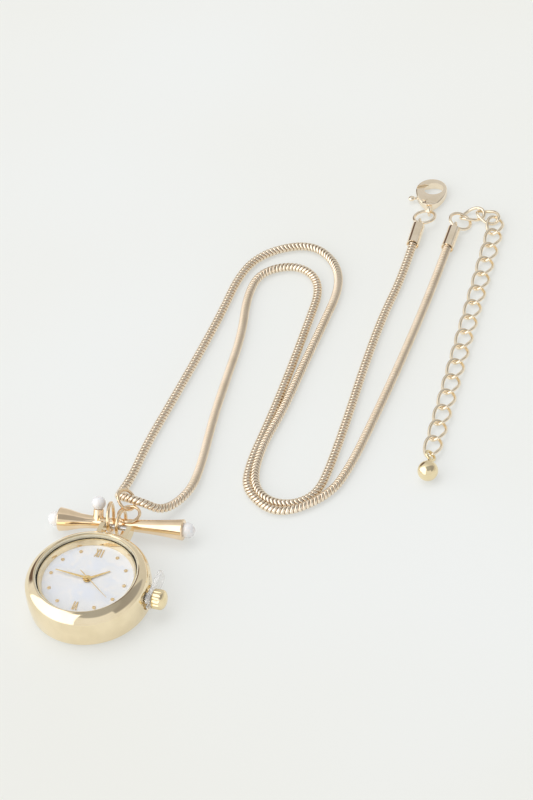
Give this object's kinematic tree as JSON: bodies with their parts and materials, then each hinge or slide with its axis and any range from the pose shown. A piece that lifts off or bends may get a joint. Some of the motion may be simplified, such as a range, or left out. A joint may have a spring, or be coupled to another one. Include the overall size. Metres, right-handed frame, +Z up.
{
  "type": "pendant watch",
  "caption": "Pendant watch: round quartz watch with shell dial, pearl bow-tie bar on rings, and a long snake chain with lobster clasp and extender.",
  "frame": {"origin": "centre of the case back's outer face, which lies on the table", "axes": "+Z up out of the dial, +Y towards 12 o'clock and the chain, +X towards the crown at 3 o'clock"},
  "size_m": [0.0832, 0.1635, 0.0093],
  "materials": {
    "case_gold": "polished plating",
    "ring_gold": "polished plating",
    "chain_gold": "polished plating",
    "yellow_gold": "polished plating",
    "flange_gold": "mirror polished",
    "steel": "brushed",
    "movement_brass": "matt",
    "glass": "clear",
    "shell": "mother-of-pearl",
    "mark_gold": "polished gilt",
    "pearl_white": "pearl lustre",
    "clear_plastic": "clear soft plastic",
    "seal_rubber": "matt",
    "holder_plastic": "matt",
    "copper_coil": "enamelled wire",
    "board_green": "matt"
  },
  "bodies": {
    "watch_case": {"case": "case_gold", "lug_pin": "steel", "case_back": "steel", "back_gasket": "seal_rubber", "crystal": "glass", "crystal_gasket": "holder_plastic", "flange_ring": "flange_gold", "dial": "shell", "hour_marks": "mark_gold", "movement_holder": "holder_plastic", "main_plate": "movement_brass", "train_bridge": "steel", "movement_screws": "steel", "coil": "copper_coil", "stator": "steel", "circuit_board": "board_green", "battery": "steel", "battery_strap": "steel", "crown_tube": "steel", "snake_chain": "chain_gold", "clasp_end_cap": "chain_gold", "extender_end_cap": "chain_gold"},
    "crown_and_stem": {"crown": "yellow_gold", "stem": "steel"},
    "stop_tab": {"crown_stop_tab": "clear_plastic"},
    "minute_display": {"cannon_pinion": "steel", "minute_hand": "mark_gold"},
    "minute_wheel_body": {"minute_wheel": "movement_brass"},
    "hour_display": {"hour_wheel": "movement_brass", "hour_hand": "mark_gold"},
    "seconds_display": {"seconds_wheel": "movement_brass", "second_hand": "mark_gold"},
    "third_wheel_body": {"third_wheel": "movement_brass"},
    "centre_wheel_body": {"centre_wheel": "movement_brass"},
    "intermediate_wheel_body": {"intermediate_wheel": "movement_brass"},
    "rotor_body": {"rotor": "steel"},
    "bar_with_pearls": {"bar": "ring_gold", "left_end_pearl": "pearl_white", "right_end_pearl": "pearl_white", "boss_pearl": "pearl_white"},
    "left_ring": {"bar_ring_left": "ring_gold"},
    "right_ring": {"bar_ring_right": "ring_gold"},
    "link_ring_body": {"link_ring": "ring_gold"},
    "chain_ring_body": {"chain_ring": "ring_gold"},
    "clasp_ring": {"clasp_jump_ring": "chain_gold"},
    "clasp": {"clasp_body": "chain_gold", "clasp_rivet": "chain_gold", "clasp_spring": "steel"},
    "clasp_catch": {"clasp_lever": "chain_gold"},
    "extender_ring": {"extender_jump_ring": "chain_gold"},
    "links_1": {"extender_links_1": "yellow_gold"},
    "links_2": {"extender_links_2": "yellow_gold"},
    "links_3": {"extender_links_3": "yellow_gold"},
    "links_4": {"extender_links_4": "yellow_gold"},
    "links_5": {"extender_links_5": "yellow_gold"},
    "links_6": {"extender_links_6": "yellow_gold"},
    "links_7": {"extender_links_7": "yellow_gold"},
    "links_8": {"extender_links_8": "yellow_gold"},
    "links_9": {"extender_links_9": "yellow_gold"},
    "end_ball": {"extender_ball": "yellow_gold"}
  },
  "joints": [
    {"name": "crown_turn", "type": "hinge", "parent": "watch_case", "child": "crown_and_stem", "pos_m": [0.015, 0, 0.0046], "axis": [1, 0, 0], "continuous": true},
    {"name": "stop_tab_pull", "type": "slide", "parent": "watch_case", "child": "stop_tab", "axis": [0, 1, 0], "range_m": [0, 0.012]},
    {"name": "minute_hand_turn", "type": "hinge", "parent": "watch_case", "child": "minute_display", "pos_m": [0, 0, 0.0055], "axis": [0, 0, 1], "continuous": true},
    {"name": "minute_wheel_turn", "type": "hinge", "parent": "watch_case", "child": "minute_wheel_body", "pos_m": [0.00216, 0, 0.0055], "axis": [0, 0, 1], "continuous": true},
    {"name": "hour_hand_turn", "type": "hinge", "parent": "watch_case", "child": "hour_display", "pos_m": [0, 0, 0.006], "axis": [0, 0, 1], "continuous": true},
    {"name": "second_hand_turn", "type": "hinge", "parent": "watch_case", "child": "seconds_display", "pos_m": [0, 0, 0.005], "axis": [0, 0, 1], "continuous": true},
    {"name": "third_wheel_turn", "type": "hinge", "parent": "watch_case", "child": "third_wheel_body", "pos_m": [-0.0025, 0, 0.004], "axis": [0, 0, 1], "continuous": true},
    {"name": "centre_wheel_turn", "type": "hinge", "parent": "watch_case", "child": "centre_wheel_body", "pos_m": [0, 0, 0.0045], "axis": [0, 0, 1], "continuous": true},
    {"name": "intermediate_wheel_turn", "type": "hinge", "parent": "watch_case", "child": "intermediate_wheel_body", "pos_m": [0.00131, 0.00227, 0.004], "axis": [0, 0, 1], "continuous": true},
    {"name": "rotor_turn", "type": "hinge", "parent": "watch_case", "child": "rotor_body", "pos_m": [0.00019, 0.00422, 0.004], "axis": [0, 0, 1], "continuous": true},
    {"name": "bar_roll", "type": "hinge", "parent": "watch_case", "child": "bar_with_pearls", "pos_m": [-0.0012, 0.0202, 0.0034], "axis": [0.9942, 0.108, 0], "range_deg": [-55, 40]},
    {"name": "left_ring_turn", "type": "hinge", "parent": "watch_case", "child": "left_ring", "pos_m": [-0.0023, 0.0203, 0.00498], "axis": [0.9781, 0.2079, 0], "continuous": true},
    {"name": "right_ring_turn", "type": "hinge", "parent": "watch_case", "child": "right_ring", "pos_m": [0.0003, 0.01975, 0.00435], "axis": [1, 0, 0], "continuous": true},
    {"name": "link_ring_turn", "type": "hinge", "parent": "watch_case", "child": "link_ring_body", "pos_m": [0.00148, 0.0221, 0.00524], "axis": [0, 0, 1], "continuous": true},
    {"name": "chain_ring_turn", "type": "hinge", "parent": "watch_case", "child": "chain_ring_body", "pos_m": [-0.00026, 0.02554, 0.00599], "axis": [0.7464, 0.012, 0.6654], "continuous": true},
    {"name": "clasp_ring_lift", "type": "hinge", "parent": "watch_case", "child": "clasp_ring", "pos_m": [0.03636, 0.13313, 0.00195], "axis": [0.9767, -0.165, 0.137], "range_deg": [0, 20]},
    {"name": "clasp_swing", "type": "hinge", "parent": "clasp_ring", "child": "clasp", "pos_m": [0.03746, 0.13727, 0.0015], "axis": [0, 0, 1], "range_deg": [-8, 8]},
    {"name": "clasp_lever_open", "type": "hinge", "parent": "clasp", "child": "clasp_catch", "pos_m": [0.03517, 0.14179, 0.0015], "axis": [0, 0, -1], "range_deg": [0, 18]},
    {"name": "extender_ring_lift", "type": "hinge", "parent": "watch_case", "child": "extender_ring", "pos_m": [0.04519, 0.13372, 0.00185], "axis": [0.8961, -0.246, -0.3694], "range_deg": [0, 20]},
    {"name": "link_bend_1", "type": "hinge", "parent": "extender_ring", "child": "links_1", "pos_m": [0.046, 0.1383, 0.001], "axis": [0, 0, 1], "range_deg": [-1, 3]},
    {"name": "link_bend_2", "type": "hinge", "parent": "links_1", "child": "links_2", "pos_m": [0.05368, 0.13917, 0.001], "axis": [0, 0, 1], "range_deg": [-1, 8]},
    {"name": "link_bend_3", "type": "hinge", "parent": "links_2", "child": "links_3", "pos_m": [0.05515, 0.12988, 0.001], "axis": [0, 0, 1], "range_deg": [-1, 8]},
    {"name": "link_bend_4", "type": "hinge", "parent": "links_3", "child": "links_4", "pos_m": [0.05595, 0.11975, 0.001], "axis": [0, 0, 1], "range_deg": [-1, 8]},
    {"name": "link_bend_5", "type": "hinge", "parent": "links_4", "child": "links_5", "pos_m": [0.05675, 0.10962, 0.001], "axis": [0, 0, 1], "range_deg": [-1, 8]},
    {"name": "link_bend_6", "type": "hinge", "parent": "links_5", "child": "links_6", "pos_m": [0.05755, 0.09948, 0.001], "axis": [0, 0, 1], "range_deg": [-1, 8]},
    {"name": "link_bend_7", "type": "hinge", "parent": "links_6", "child": "links_7", "pos_m": [0.05835, 0.08935, 0.001], "axis": [0, 0, 1], "range_deg": [-1, 8]},
    {"name": "link_bend_8", "type": "hinge", "parent": "links_7", "child": "links_8", "pos_m": [0.05915, 0.07922, 0.001], "axis": [0, 0, 1], "range_deg": [-1, 8]},
    {"name": "link_bend_9", "type": "hinge", "parent": "links_8", "child": "links_9", "pos_m": [0.05995, 0.06908, 0.001], "axis": [0, 0, 1], "range_deg": [-1, 8]},
    {"name": "ball_swing", "type": "hinge", "parent": "links_9", "child": "end_ball", "pos_m": [0.06075, 0.05895, 0.001], "axis": [0, 0, 1], "range_deg": [-5, 5]}
  ],
  "couplings": [
    {"joint": "minute_wheel_turn", "follows": "crown_turn", "ratio": -0.5},
    {"joint": "minute_hand_turn", "follows": "crown_turn", "ratio": 1.5},
    {"joint": "hour_hand_turn", "follows": "crown_turn", "ratio": 0.125},
    {"joint": "intermediate_wheel_turn", "follows": "second_hand_turn", "ratio": -6},
    {"joint": "rotor_turn", "follows": "second_hand_turn", "ratio": 30},
    {"joint": "third_wheel_turn", "follows": "second_hand_turn", "ratio": -0.13333},
    {"joint": "centre_wheel_turn", "follows": "second_hand_turn", "ratio": 0.016667}
  ]
}
